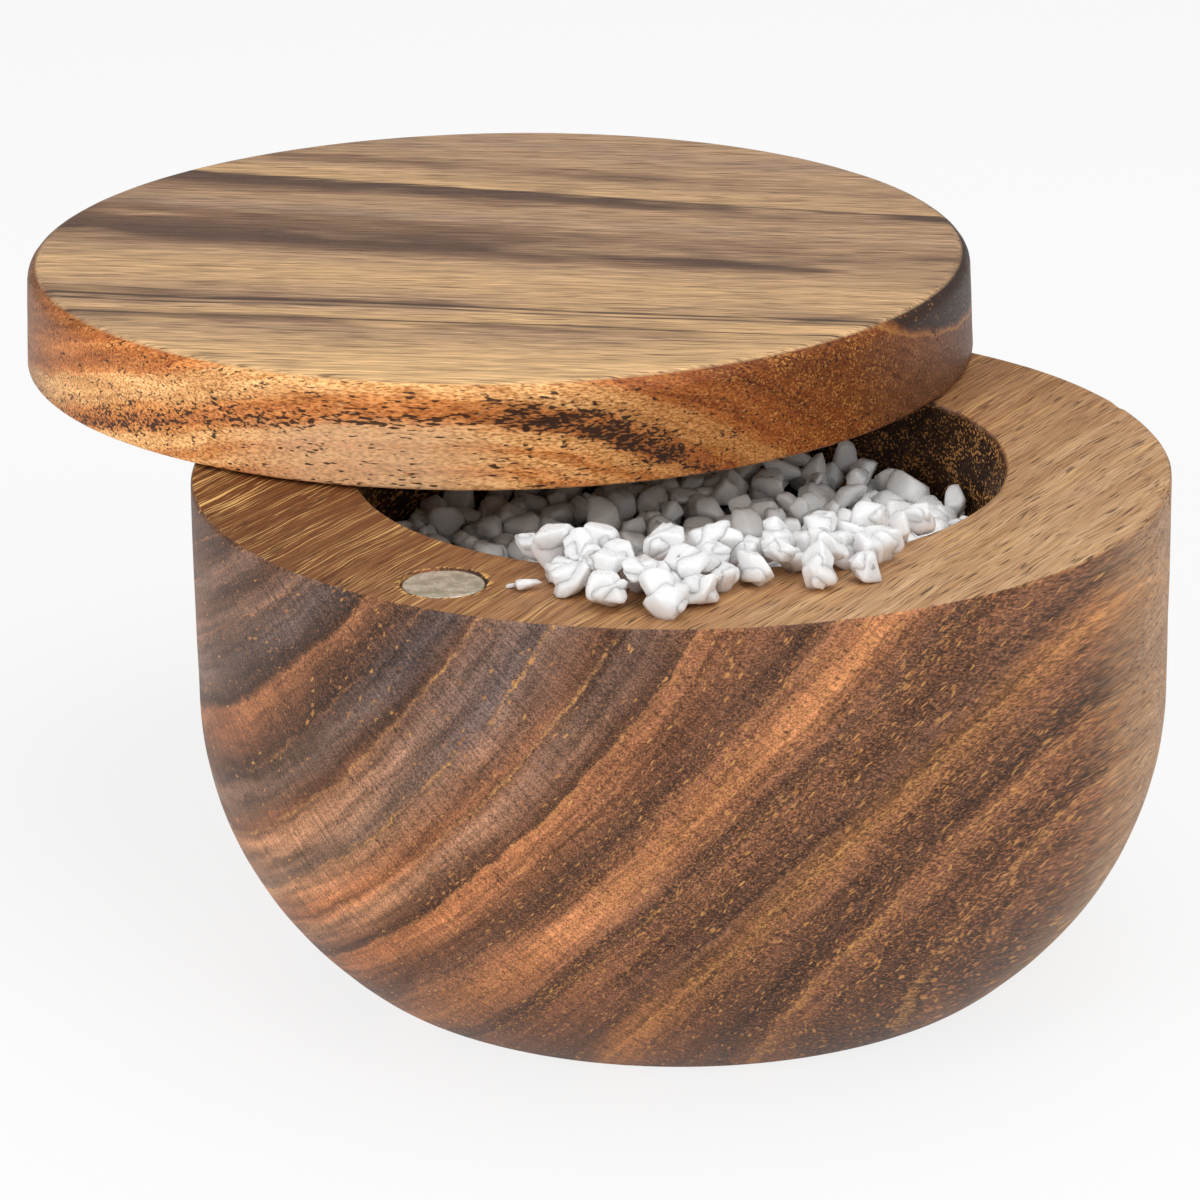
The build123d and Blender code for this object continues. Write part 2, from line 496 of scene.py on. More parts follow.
def cavity_wall(wood, colour, speck):
    """The turned inside of the cavity: near-black, partly the wood's own darker tone and partly
    painted shade of the recess, with fine golden flecks.
    """
    radius = wood.length(wood.along, wood.across)
    inside_dark_and_shade = wood.spread(radius, CAVITY_RADIUS + 0.7, CAVITY_RADIUS + 0.3)
    inside_dark_and_shade = wood.times(inside_dark_and_shade, wood.spread(wood.up, -0.1, -0.6))
    # Partly darker wood, partly painted shade: the inside wall goes most of the way to
    # near-black
    dark = wood.over(0.88, colour, 38, 22, 13)
    fleck = wood.noise(wood.stretched(0.30, 0.8, 2.0), 1.0, 1.0)
    clump = wood.noise(wood.stretched(2.2, 3.0, 5.0), 1.0, 1.0)
    fleck = wood.add(fleck, wood.math("MULTIPLY_ADD", clump, 0.4, -0.2))
    dark = wood.over(wood.spread(fleck, 0.57, 0.64, 0.0, 0.9), dark, 210, 152, 88)
    dark = wood.vary(dark, speck, 0.5, 1.5)
    return wood.mix(inside_dark_and_shade, colour, dark)


def torn_edge(wood, colour):
    """Fibres torn up, bright or dark, where the drill for the magnet left the rim."""
    along = CATCH.x * math.cos(BOWL_GRAIN) + CATCH.y * math.sin(BOWL_GRAIN)
    across = CATCH.x * math.sin(BOWL_GRAIN) - CATCH.y * math.cos(BOWL_GRAIN)
    gap = wood.length(wood.add(wood.along, -along), wood.add(wood.across, -across))
    near = wood.spread(gap, MAGNET_POCKET_RADIUS + 0.75, MAGNET_POCKET_RADIUS + 0.15)
    tear = wood.streaks(0.30, 1.6, 27.0, 1.0)
    colour = wood.over(wood.times(near, wood.spread(tear, 0.50, 0.56)), colour, 240, 186, 108)
    return wood.over(wood.times(near, wood.spread(tear, 0.44, 0.38)), colour, 44, 28, 18)


def bowl_wood():
    """Dark figured wood. Its rings cross the front at a slant and its fibres run to the back."""
    wood = Wood("bowl_wood", (0, 0, BOWL_HEIGHT), BOWL_GRAIN, math.radians(74))
    ends, speck, pits = bowl_ends(wood)

    # The fibres waver a little where they lie along the surface
    straight = wood.across
    wood.across = wood.add(straight, wood.wander(6.0, 15.0, 0.5, 17.0))
    lengths, thin, dash = bowl_lengths(wood)
    wood.across = straight

    lengths = torn_edge(wood, lengths)
    wall = wood.mix(0.35, lengths, ends)
    lengths = wood.mix(wood.levelness, wall, lengths)
    colour = wood.mix(wood.endness, lengths, ends)
    colour = cavity_wall(wood, colour, speck)
    wood.set("Base Color", colour)
    wood.set("Specular IOR Level", 0.22)
    wood.set("Roughness", wood.spread(speck, 0.3, 0.7, 0.42, 0.60))
    cut = wood.times(wood.spread(dash, 0.6, 0.7), wood.math("SUBTRACT", 1.0, wood.endness))
    height = wood.add(wood.times(speck, 0.8), wood.times(pits, -0.8), wood.times(cut, -0.6))
    wood.set("Normal", wood.bump(wood.add(height, wood.times(thin, 0.4)), 0.05))
    return wood.material


def lid_top(wood, back):
    """The lid's flat face, cut along its fibres: fine streaks, smoky bands and dark lines."""
    fan = wood.times(wood.along, wood.math("MULTIPLY_ADD", back, 0.0023, 0.109))
    track = wood.add(back, fan, wood.wander(16.0, 60.0, 0.8, 11.0))
    ring = wood.add(track, wood.wander(2.6, 26.0, 0.9, 5.0), wood.wander(0.5, 12.0, 0.6, 7.0))
    smoke = tone(100, 75, 60)
    brown = tone(134, 102, 78)
    mauve = tone(172, 140, 114)
    tan = tone(190, 153, 117)
    straw = tone(216, 175, 127)
    honey = tone(238, 193, 136)
    bands = [
        (-52, honey), (-40, straw), (-33, tan), (-30.5, brown), (-28.5, straw), (-25.8, tan),
        (-23.2, brown), (-21.5, tan), (-14, straw), (-7, tan), (-4.4, brown), (-2.6, smoke),
        (1.0, smoke), (4, brown), (7.5, brown), (10, mauve), (14, tan), (18.0, brown),
        (20.2, smoke), (22.6, smoke), (23.4, straw), (29, tan), (32, brown), (35, tan),
        (42, mauve), (52, tan),
    ]
    colour = wood.ramp(ring, bands, -55.0, 55.0)
    patch = wood.noise(
        wood.joined(wood.times(ring, 0.16), wood.times(wood.along, 0.04), 2.0), 1.0, 2.0
    )
    lefter = wood.spread(wood.along, -30.0, 40.0, 0.10, -0.08)
    fade = wood.spread(wood.add(patch, lefter), 0.40, 0.56, 0.25, 1.0)
    plain = wood.ramp(ring, [(-52, honey), (-20, straw), (0, tan), (20, tan)], -55.0, 55.0)
    colour = wood.mix(fade, plain, colour)
    wide = wood.streaks(1.2, 30.0, 2.0)
    thin = wood.streaks(0.28, 11.0, 6.0)
    hair = wood.streaks(0.15, 4.2, 9.0, 1.0)
    colour = wood.vary(colour, wide, 0.88, 1.14)
    colour = wood.vary(colour, thin, 0.70, 1.28)
    colour = wood.vary(colour, hair, 0.68, 1.28)
    fine = wood.add(track, wood.wander(0.8, 20.0, 0.35, 29.0))
    lines = 0.0
    for place, half, strength in LID_LINES:
        lines = wood.math("MULTIPLY_ADD", wood.near(fine, place, 0.0, half), strength, lines)
    gaps = wood.streaks(0.5, 9.0, 15.0, 1.0)
    lines = wood.times(lines, wood.spread(gaps, 0.36, 0.50, 0.40, 1.0))
    colour = wood.over(wood.math("MINIMUM", lines, 0.85), colour, 62, 48, 43)
    dash = wood.streaks(0.24, 6.5, 21.0, 1.0)
    colour = wood.over(wood.times(wood.spread(dash, 0.59, 0.66), 0.75), colour, 96, 66, 50)
    return colour, thin


def lid_side(wood, back):
    """The lid's turned edge: bright amber round a dark speckled arch, and brown to the right,
    darkened further there by painted shade.
    """
    from_crest = wood.add(wood.along, -2.0)
    fall = wood.spread(wood.along, -8.0, 9.0, 0.0045, 0.0116)
    arch = wood.add(
        wood.up,
        -7.7,
        wood.times(from_crest, from_crest, fall),
        wood.wander(5.0, 24.0, 0.6, 2.0),
        wood.wander(0.8, 6.0, 0.35, 5.0),
    )
    char = tone(48, 29, 20)
    russet = tone(196, 116, 58)
    amber = tone(232, 150, 80)
    gold = tone(252, 188, 120)
    orange = tone(224, 140, 74)
    brown = tone(170, 103, 50)
    bands = [
        (-9, amber), (-7, gold), (-5.6, orange), (-4.2, gold), (-3.0, amber), (-1.8, gold),
        (-1.1, gold), (-0.5, amber), (0.1, orange), (1.0, orange), (1.8, amber), (2.8, gold),
        (5.3, gold), (5.9, orange), (7.2, russet), (8.4, orange), (9.8, russet), (11, brown),
        (12.2, russet), (13.4, brown), (17, brown), (21, brown), (24, russet), (28, brown),
    ]
    colour = wood.ramp(arch, bands, -10.0, 30.0)
    # Painted shade: the edge darkens towards its right end
    right = wood.spread(wood.along, 6.0, 30.0, 1.0, 0.40, smooth=True)
    colour = wood.multiply(1.0, colour, wood.filtered(right))
    fine = wood.noise(wood.scaled((arch, 1.8), (wood.along, 0.12), (back, 0.06)), 1.0, 3.0)
    colour = wood.vary(colour, fine, 0.62, 1.32, warm=True)
    speck = wood.streaks(0.20, 0.7, 3.0, 1.0)
    colour = wood.vary(colour, speck, 0.48, 1.36, 0.34, 0.62, warm=True)
    fleck = wood.spread(wood.streaks(0.24, 0.5, 37.0, 1.0), 0.54, 0.62)
    sparse = wood.spread(wood.streaks(1.4, 3.0, 41.0, 1.0), 0.38, 0.62, 0.15, 0.9)
    fleck = wood.times(fleck, wood.spread(wood.along, 14.0, 32.0), sparse)
    colour = wood.over(fleck, colour, 210, 142, 70)

    pale = wood.times(wood.near(wood.along, -7.0, 6.0, 16.0), wood.spread(arch, 0.3, -1.2), 0.7)
    colour = wood.mix(pale, colour, wood.vary(tone(252, 203, 156), speck, 0.74, 1.1))

    # Both ends turn grey-brown, and a dark stain above a bright line lies at the top right
    ends = wood.spread(wood.math("ABSOLUTE", wood.along), 41.0, 51.0, 0.0, 0.75)
    colour = wood.mix(ends, colour, wood.vary(tone(106, 78, 60), fine, 0.6, 1.4))
    slope = wood.times(wood.add(wood.along, -42.7), 0.62)
    stain = wood.add(wood.up, -11.3, slope, wood.wander(3.0, 14.0, 0.35, 31.0))
    righter = wood.spread(wood.along, 33.0, 39.0)
    stained = wood.times(wood.spread(stain, -0.1, 0.5), righter, 0.92)
    colour = wood.over(stained, colour, 50, 36, 30)
    lined = wood.times(wood.near(stain, -0.35, 0.0, 0.32), righter, 0.6)
    colour = wood.over(lined, colour, 202, 140, 74)

    # The dark dashes crowd on the arch: thin at its crest, thick where it falls to the right
    thin = wood.near(arch, 0.0, 0.2, 1.1)
    wide = wood.times(wood.spread(arch, -1.3, -0.2), wood.spread(arch, 4.0, 0.4))
    left = wood.spread(wood.along, -27.0, -15.0, 0.65, 0.0)
    middle = wood.near(wood.along, 16.5, 6.0, 15.0, smooth=True)
    band = wood.math(
        "MAXIMUM", wood.times(thin, 0.75), wood.times(wide, wood.add(left, middle)), clamp=True
    )
    dashes = wood.streaks(0.30, 1.4, 8.0, 1.0)
    clump = wood.streaks(1.2, 5.0, 14.0, 1.0)
    heart = wood.times(wood.near(wood.along, 18.5, 2.0, 8.0), wide)
    dark = wood.add(
        dashes,
        wood.times(band, 0.20),
        wood.times(heart, 0.06),
        wood.math("MULTIPLY_ADD", clump, 0.4, -0.2),
    )
    colour = wood.mix(wood.spread(dark, 0.64, 0.70, 0.0, 0.92), colour, char)
    shade = wood.times(wide, wood.add(wood.times(left, 0.5), middle))
    dim = wood.times(shade, wood.spread(clump, 0.35, 0.6, 0.4, 1.0), 0.55)
    colour = wood.mix(dim, colour, char)

    mote = wood.streaks(0.34, 1.6, 13.0, 1.0)
    bend = wood.math("MULTIPLY_ADD", mote, 1.4, -0.7)
    glints, tint = wood.pores(wood.stretched(0.34, 1.1, 4.1), 0.36, 0.38, bend)
    bright = wood.mix(tint, tone(230, 150, 82), tone(255, 204, 138))
    # Painted shade dims the gold specks towards the right as well
    painted_shade_to_right = wood.filtered(wood.spread(wood.along, 8.0, 30.0, 1.0, 0.60))
    bright = wood.multiply(1.0, bright, painted_shade_to_right)
    colour = wood.mix(wood.times(glints, wood.math("SUBTRACT", 0.6, dim)), colour, bright)
    return colour, speck, wood.spread(dark, 0.64, 0.71)


def lid_wood():
    """Lighter wood, cut along its fibres, with dark lines on top and an arch on its edge."""
    heart = (LID_CENTRE.x, LID_CENTRE.y, LID_FLOOR)
    wood = Wood("lid_wood", heart, LID_GRAIN, LID_GRAIN)
    back = wood.times(wood.across, -1.0)
    top, thin = lid_top(wood, back)
    side, speck, pits = lid_side(wood, back)
    wood.set("Base Color", wood.mix(wood.levelness, side, top))
    wood.set("Specular IOR Level", 0.25)
    wood.set("Roughness", wood.spread(speck, 0.3, 0.7, 0.42, 0.58))
    edge = wood.math("SUBTRACT", 1.0, wood.levelness)
    height = wood.add(
        wood.times(thin, 0.5), wood.times(wood.add(speck, wood.times(pits, -1.2)), edge, 0.7)
    )
    wood.set("Normal", wood.bump(height, 0.05))
    return wood.material


def plated(name, colour, dull, grime):
    """Thin plating that is dulled, scratched and a little grimy."""
    metal = Finish(name)
    spot = metal.spot()
    cloud = metal.noise(spot, scale=0.6, detail=4.0, roughness=0.6)
    grain = metal.noise(spot, scale=5.0, detail=3.0, roughness=0.7)
    mix = metal.mix(metal.spread(cloud, 0.40, 0.62, 0.0, 0.9), colour, grime)
    metal.set("Base Color", metal.mix(metal.spread(grain, 0.42, 0.66, 0.0, 0.7), mix, grime))
    metal.set("Metallic", 0.7)
    metal.set("Roughness", metal.spread(cloud, 0.3, 0.7, dull, dull + 0.2))
    metal.set("Normal", metal.bump(grain, 0.02))
    return metal.material


def turned_steel():
    """Ground steel with fine marks round it."""
    metal = Finish("pin_steel")
    _, _, height = metal.split(metal.spot())
    marks = metal.noise(metal.joined(0.0, 0.0, height), scale=14.0, detail=3.0)
    metal.set("Base Color", metal.mix(marks, tone(180, 180, 180), tone(205, 204, 202)))
    metal.set("Metallic", 1.0)
    metal.set("Roughness", metal.spread(marks, 0.3, 0.7, 0.22, 0.4))
    metal.set("Normal", metal.bump(marks, 0.01))
    return metal.material


def bush_plastic():
    """Natural plastic with a faint mould texture."""
    plastic = Finish("bush_plastic")
    grain = plastic.noise(plastic.spot(), scale=5.0, detail=3.0)
    plastic.set("Base Color", plastic.mix(grain, tone(222, 217, 202), tone(234, 230, 218)))
    plastic.set("Roughness", plastic.spread(grain, 0.3, 0.7, 0.42, 0.55))
    plastic.set("Normal", plastic.bump(grain, 0.01))
    return plastic.material


def salt():
    """Coarse white salt, cloudy inside and a little translucent."""
    crystal = Finish("salt")
    spot = crystal.spot()
    cloud = crystal.noise(spot, scale=0.55, detail=3.0)
    frost = crystal.noise(spot, scale=1.6, detail=2.0, roughness=0.6)
    crystal.set("Base Color", crystal.mix(cloud, tone(252, 252, 252), tone(255, 255, 255)))
    crystal.set("Roughness", crystal.spread(frost, 0.3, 0.7, 0.20, 0.42))
    crystal.set("IOR", 1.54)
    crystal.set("Subsurface Weight", 1.0)
    crystal.set("Subsurface Radius", (1.1, 1.1, 1.1))
    crystal.set("Subsurface Scale", MM)
    crystal.set("Normal", crystal.bump(frost, 0.02))
    return crystal.material


# Meshes


def linked(name, data):
    """A new object in the scene, with this mesh, lamp or camera."""
    piece = bpy.data.objects.new(name, data)
    bpy.context.scene.collection.objects.link(piece)
    return piece


def mesh_object(name, points, faces):
    """An object from points in millimetres."""
    mesh = bpy.data.meshes.new(name)
    mesh.from_pydata([tuple(point) for point in np.array(points) * MM], [], faces)
    return linked(name, mesh)


def new_piece(name, points, faces, material, body, smooth_under=40.0):
    """A piece of the object, smooth except across its sharp edges."""
    piece = mesh_object(name, points, faces)
    piece.data.validate()
    finish_piece(piece, material, body, smooth_under)
    return piece


def finish_piece(piece, material, body, smooth_under=40.0):
    """Gives a piece its material, its shading and the body that it rides on."""
    piece.data.materials.clear()
    piece.data.materials.append(material)
    piece.data.shade_smooth()
    piece.data.set_sharp_from_angle(angle=math.radians(smooth_under))
    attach(piece, body)


def corner(before, at, after, radius, steps):
    """Points of the round that joins two straight runs at a corner."""
    at = Vector(at)
    one = (Vector(before) - at).normalized()
    two = (Vector(after) - at).normalized()
    half = one.angle(two) / 2
    centre = at + (one + two).normalized() * radius / math.sin(half)
    first = at + one * radius / math.tan(half)
    last = at + two * radius / math.tan(half)
    points = []
    for step in range(steps + 1):
        ray = (first - centre).normalized().slerp((last - centre).normalized(), step / steps)
        points.append(centre + ray * radius)
    return points


def run(first, last, gap):
    """Evenly spaced points between two ends, without the ends."""
    first, last = Vector(first), Vector(last)
    count = max(1, round((last - first).length / gap))
    return [first.lerp(last, step / count) for step in range(1, count)]


def outline(corners, gap):
    """A profile from (radius, height, round) corners, with points gap apart."""
    points = [Vector(corners[0][:2])]
    for index in range(1, len(corners) - 1):
        before, at, after = (Vector(corners[index + step][:2]) for step in (-1, 0, 1))
        size = corners[index][2]
        if size > 0:
            steps = max(3, round(size * 1.6 / min(gap, max(size / 4, 0.12))))
            bend = corner(before, at, after, size, steps)
        else:
            bend = [at]
        points += run(points[-1], bend[0], gap) + bend
    last = Vector(corners[-1][:2])
    points += run(points[-1], last, gap) + [last]
    return points


def turned(profile, centre, around):
    """Turns a profile, which starts and ends on the axis, into points and faces."""
    rings = profile[1:-1]
    angles = np.arange(around) * 2 * math.pi / around
    points = [(centre.x, centre.y, profile[0].y), (centre.x, centre.y, profile[-1].y)]
    for ring in rings:
        for angle in angles:
            x = centre.x + ring.x * math.cos(angle)
            y = centre.y + ring.x * math.sin(angle)
            points.append((x, y, ring.y))
    faces = []
    last = 2 + (len(rings) - 1) * around
    for step in range(around):
        after = (step + 1) % around
        faces.append((0, 2 + after, 2 + step))
        faces.append((1, last + step, last + after))
        for index in range(len(rings) - 1):
            row = 2 + index * around
            faces.append((row + step, row + after, row + around + after, row + around + step))
    return np.array(points), faces


def belly():
    """The arc from the base up to the wall, which it meets without a corner."""
    inset = RIM_RADIUS - BASE_RADIUS
    radius = (inset**2 + BELLY_HEIGHT**2) / (2 * inset)
    low = math.asin(BELLY_HEIGHT / radius)
    points = []
    for step in range(ARC_STEPS + 1):
        angle = low * (1 - step / ARC_STEPS)
        x = RIM_RADIUS - radius + radius * math.cos(angle)
        points.append(Vector((x, BELLY_HEIGHT - radius * math.sin(angle))))
    return points


def bowl_profile():
    """From the middle of the base, round the outside, over the rim, to the cavity floor."""
    arc = belly()
    bend = corner((0, 0), arc[0], arc[3], BASE_ROUND, 5)
    points = [Vector((0, 0))] + run((0, 0), bend[0], 1.2) + bend
    points += [point for point in arc[1:] if point.y > bend[-1].y + 0.2]
    rest = outline(
        [
            (RIM_RADIUS, BELLY_HEIGHT),
            (RIM_RADIUS, BOWL_HEIGHT, RIM_ROUND),
            (CAVITY_RADIUS, BOWL_HEIGHT, RIM_ROUND),
            (CAVITY_RADIUS, CAVITY_FLOOR, CAVITY_ROUND),
            (0, CAVITY_FLOOR),
        ],
        PROFILE_GAP,
    )
    return points + rest[1:]


def lid_profile():
    """From the middle of the underside, out, up the edge and in over the top."""
    top = LID_FLOOR + LID_THICKNESS
    return outline(
        [
            (0, LID_FLOOR),
            (LID_RADIUS, LID_FLOOR, LID_FOOT_ROUND),
            (LID_RADIUS - LID_DRAFT, top, LID_TOP_ROUND),
            (0, top),
        ],
        PROFILE_GAP,
    )


def cutter(name, centre, top, depth, radius, flare, ragged, seed):
    """A drill shape with a slightly flared, ragged mouth. depth is below top."""
    levels = [(top + 1.0, flare), (top, flare), (top - 0.25, flare * 0.35), (top - 0.6, 0.0)]
    levels.append((top - depth, 0.0))
    points, faces = [], []
    for height, widen in levels:
        for step in range(HOLE_STEPS):
            angle = 2 * math.pi * step / HOLE_STEPS
            ray = Vector((math.cos(angle), math.sin(angle)))
            rough = noise.noise(Vector((ray.x * 4, ray.y * 4, seed)))
            rough += 0.5 * noise.noise(Vector((ray.x * 14, ray.y * 14, seed)))
            out = radius + widen * (1 + ragged * rough)
            points.append((centre.x + ray.x * out, centre.y + ray.y * out, height))
    for level in range(len(levels) - 1):
        for step in range(HOLE_STEPS):
            a = level * HOLE_STEPS + step
            b = level * HOLE_STEPS + (step + 1) % HOLE_STEPS
            faces.append((a, a + HOLE_STEPS, b + HOLE_STEPS, b))
    faces.append(tuple(range(HOLE_STEPS)))
    faces.append(tuple(reversed(range(len(points) - HOLE_STEPS, len(points)))))
    return mesh_object(name, points, faces)


def cut(piece, tools):
    """Cuts each tool out of a piece, for good, and throws the tools away."""
    for tool in tools:
        change = piece.modifiers.new("cut", "BOOLEAN")
        change.operation = "DIFFERENCE"
        change.solver = "EXACT"
        change.object = tool
    bpy.context.view_layer.update()
    graph = bpy.context.evaluated_depsgraph_get()
    mesh = bpy.data.meshes.new_from_object(piece.evaluated_get(graph))
    piece.modifiers.clear()
    old = piece.data
    piece.data = mesh
    bpy.data.meshes.remove(old)
    for tool in tools:
        bpy.data.objects.remove(tool)


def chipped(points):
    """Points moved in and down where the rim is chipped."""
    for index, point in enumerate(points):
        for x, y, reach, depth, seed in RIM_CHIPS:
            gap = Vector(point) - Vector((x, y, BOWL_HEIGHT))
            if gap.length > reach:
                continue
            rough = 0.6 + 0.8 * noise.noise(Vector(point) * 2.2 + Vector((seed, 0, 0)))
            share = (1 - (gap.length / reach) ** 2) ** 2 * max(rough, 0)
            inward = Vector((-point[0], -point[1], 0)).normalized() + Vector((0, 0, -1))
            points[index] = Vector(point) + inward.normalized() * depth * share
    return points


def sanded(points, centre, floor):
    """A hand-sanded surface: long, very shallow waves that leave the flat foot alone."""
    for index, point in enumerate(points):
        place = Vector(point)
        wave = noise.noise(place * 0.06) + 0.4 * noise.noise(place * 0.25)
        out = Vector((place.x - centre.x, place.y - centre.y, 0))
        if out.length < 1 or place.z < floor:
            continue
        points[index] = place + out.normalized() * wave * SANDING
    return points


def make_bowl(material):
    """The bowl: turned, sanded, chipped at two places on its rim, and drilled."""
    points, faces = turned(bowl_profile(), Vector((0, 0)), TURNED_STEPS)
    points = chipped(sanded(points, Vector((0, 0)), 1.0))
    bowl = new_piece("bowl_turned", points, faces, material, "bowl")
    top = BOWL_HEIGHT
    cut(
        bowl,
        [
            cutter("t1", CATCH, top, MAGNET_POCKET_DEPTH, MAGNET_POCKET_RADIUS, 0.16, 1.6, 2.0),
            cutter("t2", PIVOT, top, FLANGE_POCKET_DEPTH, FLANGE_POCKET_RADIUS, 0.1, 0.6, 5.0),
            cutter("t3", PIVOT, top, SLEEVE_DEPTH, SLEEVE_RADIUS, 0.0, 0.0, 5.0),
        ],
    )
    finish_piece(bowl, material, "bowl")
    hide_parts("bowl")


def below(name, centre, depth, radius, flare, ragged, seed):
    """A drill shape that cuts up into the lid's underside."""
    tool = cutter(name, centre, 0.0, depth, radius, flare, ragged, seed)
    for vertex in tool.data.vertices:
        vertex.co.z = LID_FLOOR * MM - vertex.co.z
    tool.data.flip_normals()
    return tool


def make_lid(material):
    """The lid: a turned disc, drilled from below for the pin and the magnet."""
    points, faces = turned(lid_profile(), LID_CENTRE, TURNED_STEPS)
    points = sanded(points, LID_CENTRE, LID_FLOOR + 0.2)
    lid = new_piece("lid_turned", points, faces, material, "lid")
    cut(
        lid,
        [
            below("t1", PIVOT, PIN_SEAT, PIN_RADIUS + 0.02, 0.12, 1.0, 4.0),
            below("t2", LID_CATCH, MAGNET_POCKET_DEPTH, MAGNET_POCKET_RADIUS, 0.14, 1.4, 6.0),
        ],
    )
    finish_piece(lid, material, "lid")
    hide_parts("lid")


def make_magnet(name, node, centre, low, body, face_up, seed, material):
    """A plated disc with a soft edge and a few small dents in its face."""
    high = low + MAGNET_THICKNESS
    profile = outline(
        [(0, low), (MAGNET_RADIUS, low, 0.22), (MAGNET_RADIUS, high, 0.22), (0, high)], 0.25
    )
    points, faces = turned(profile, centre, HOLE_STEPS)
    face = high if face_up else low
    for index, point in enumerate(points):
        place = Vector(point)
        if abs(place.z - face) < 0.3:
            dent = noise.noise(Vector((place.x, place.y, seed)) * 0.9)
            dent += 0.5 * noise.noise(Vector((place.x, place.y, seed)) * 3.1)
            sink = 0.05 * max(dent, 0)
            place.z += -sink if face_up else sink
            points[index] = place
    magnet = new_piece(name, points, faces, material, body)
    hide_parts(node)


# Salt

# Sizes are about half a crystal's length. Spacings are shares of two touching sizes
SALT_SEED = 41
HEAP_TRIES = 12000
SPILL_TRIES = 7000
HEAP_CELL = 5.0
HEAP_DEPTH = 6.0
HEAP_SPACING = 0.78
SPILL_SPACING = 0.86
SETTLING = 0.78
LARGEST_CRYSTAL = 2.5
LARGEST_CHIP = 1.5
CHIPS = [(-14.6, -38.4, BOWL_HEIGHT + 0.4, 1.3), (-16.2, -38.0, BOWL_HEIGHT + 0.3, 0.6)]
CRYSTAL_FACETS = 10
CRYSTAL_REACH = 1.22
CRYSTAL_SHARPNESS = 32


def ball(divisions):
    """Evenly spread directions, and the triangles that join them."""
    shape = bmesh.new()
    bmesh.ops.create_icosphere(shape, subdivisions=divisions, radius=1.0)
    shape.verts.index_update()
    rays = np.array([tuple(vertex.co.normalized()) for vertex in shape.verts])
    faces = [tuple(vertex.index for vertex in face.verts) for face in shape.faces]
    shape.free()
    return rays, faces


def crystal_shape(luck, rays):
    """One broken crystal of radius about 1: flat facets that meet in worn edges."""
    stretch = (1.14, luck.uniform(0.74, 1.0), luck.uniform(0.58, 0.84))
    facets = []
    while len(facets) < CRYSTAL_FACETS:
        facing = Vector([luck.gauss(0, 1) for _ in range(3)]).normalized()
        if all((facing - other).length > 0.70 for other in facets):
            facets.append(facing)
    depths = np.array([luck.uniform(0.60, 0.94) for _ in facets])
    nearness = np.clip(rays @ np.array(facets).T, 0, None) / depths
    nearness = np.column_stack([nearness, np.full(len(rays), 1 / CRYSTAL_REACH)])
    reach = (nearness**CRYSTAL_SHARPNESS).sum(axis=1) ** (-1 / CRYSTAL_SHARPNESS)
    return rays * reach[:, None] * np.array(stretch)


def heap_top(x, y):
    """Height of the salt in the bowl: over the rim in front, and lower towards the back."""
    front = min(max((-y - 4) / 22, 0), 1) * min(max((x + 20) / 8, 0), 1)
    right = min(max((x + 4) / 16, 0), 1)
    return 40.6 + 2.2 * right + (7.6 - 0.6 * right) * front


def under_lid(x, y, reach):
    return math.hypot(x - LID_CENTRE.x, y - LID_CENTRE.y) < LID_RADIUS + reach


class Heap:
    """Crystals as (x, y, z, size), kept by the cell of the plan that they lie in."""

    def __init__(self):
        self.cells = {}

    def cell(self, x, y):
        return int(x // HEAP_CELL), int(y // HEAP_CELL)

    def resting(self, x, y, size, base, spacing):
        """The height at which a new crystal rests on those below it, or else on base."""
        height = base
        column, row = self.cell(x, y)
        for i in (-1, 0, 1):
            for j in (-1, 0, 1):
                for ox, oy, oz, other in self.cells.get((column + i, row + j), ()):
                    gap = (size + other) * spacing
                    flat = math.hypot(x - ox, y - oy)
                    if flat < gap:
                        height = max(height, oz + math.sqrt(gap**2 - flat**2) * SETTLING)
        return height

    def keep(self, crystal):
        self.cells.setdefault(self.cell(*crystal[:2]), []).append(crystal)
        return crystal


def fill_bowl(heap, luck):
    """Crystals dropped all over the mouth, and kept below the salt's top and the lid."""
    kept = []
    for _ in range(HEAP_TRIES):
        size = luck.uniform(1.6, LARGEST_CRYSTAL)
        radius = (CAVITY_RADIUS - size * 0.95) * math.sqrt(luck.random())
        angle = luck.uniform(0, 2 * math.pi)
        x, y = radius * math.cos(angle), radius * math.sin(angle)
        top = heap_top(x, y)
        z = heap.resting(x, y, size, top - HEAP_DEPTH, HEAP_SPACING)
        if under_lid(x, y, size):
            top = min(top, LID_FLOOR - 0.6 - size * 1.2)
        if z < top:
            kept.append(heap.keep((x, y, z, size)))
    return kept


def spill_reach(x, y):
    """How far the salt lies out over the rim in this direction, in three tongues."""
    angle = math.degrees(math.atan2(y, x))
    tongues = ((-94, 15.6, 11), (-67, 9.8, 14), (-109, 5.5, 6))
    return sum(far * math.exp(-(((angle - at) / wide) ** 2)) for at, far, wide in tongues)


def spill_over(heap, luck):
    """Crystals over the front of the rim, as far out as its tongues reach."""
    kept = []
    for _ in range(SPILL_TRIES):
        size = luck.uniform(1.7, LARGEST_CRYSTAL)
        angle = math.radians(luck.uniform(-118, -44))
        radius = luck.uniform(CAVITY_RADIUS - 1.5, RIM_RADIUS - 1.5)
        x, y = radius * math.cos(angle), radius * math.sin(angle)
        room = CAVITY_RADIUS + spill_reach(x, y) - radius - size * 0.75
        if room < 0 or under_lid(x, y, size):
            continue
        z = heap.resting(x, y, size, BOWL_HEIGHT + size * 0.62, SPILL_SPACING)
        if z < BOWL_HEIGHT + 1.5 + min(room * 0.45, 1.6):
            kept.append(heap.keep((x, y, z, size)))
    return kept


